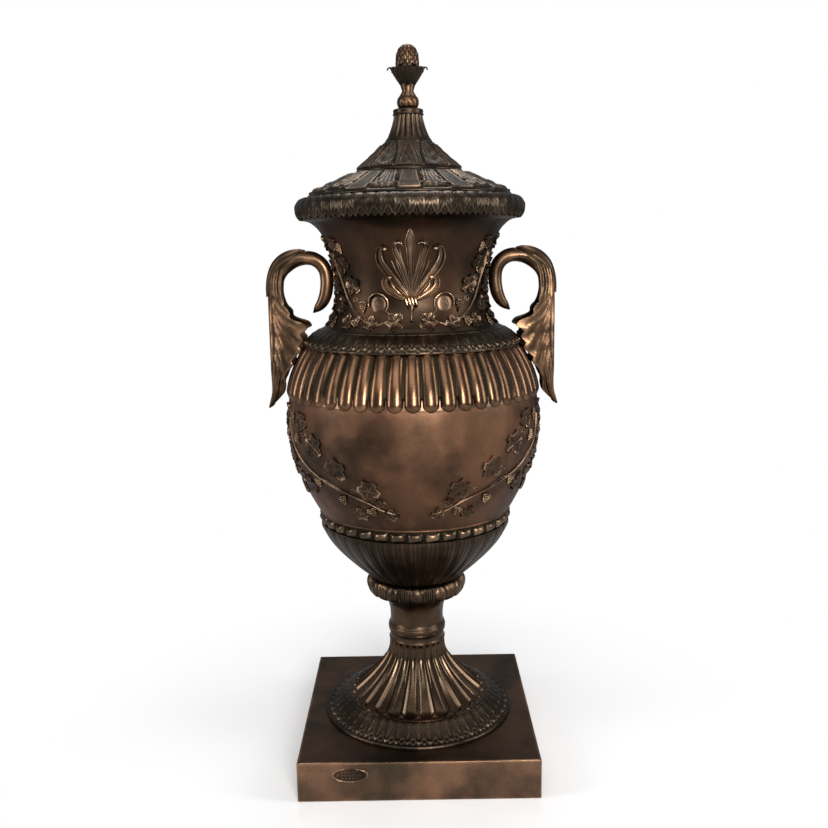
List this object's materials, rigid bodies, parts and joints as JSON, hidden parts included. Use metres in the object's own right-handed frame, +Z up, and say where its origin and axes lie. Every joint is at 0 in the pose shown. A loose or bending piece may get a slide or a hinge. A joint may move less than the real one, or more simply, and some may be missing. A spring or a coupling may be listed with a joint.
{
  "type": "mantel urn",
  "caption": "Lidded vase-shaped bronze urn on a square plinth, with leaf-and-scroll side handles, vine relief, gadrooned shoulder and an acorn finial.",
  "frame": {"origin": "centre of the plinth's underside, on the urn's axis", "axes": "+Z up along the urn's axis; -Y is the front with the seal; the handles stand out along X"},
  "size_m": [0.3144, 0.272, 0.7619],
  "materials": {
    "plinth": "dark patinated bronze, worn on its high places",
    "foot": "dark patinated bronze, worn on its high places",
    "body": "dark patinated bronze, worn on its high places",
    "handles": "dark patinated bronze, worn on its high places",
    "lid": "dark patinated bronze, worn on its high places",
    "finial": "dark patinated bronze, worn on its high places"
  },
  "bodies": {
    "root": {"plinth": "plinth", "foot": "foot", "body": "body", "handle_left": "handles", "handle_right": "handles", "lid": "lid", "finial": "finial"}
  },
  "joints": []
}
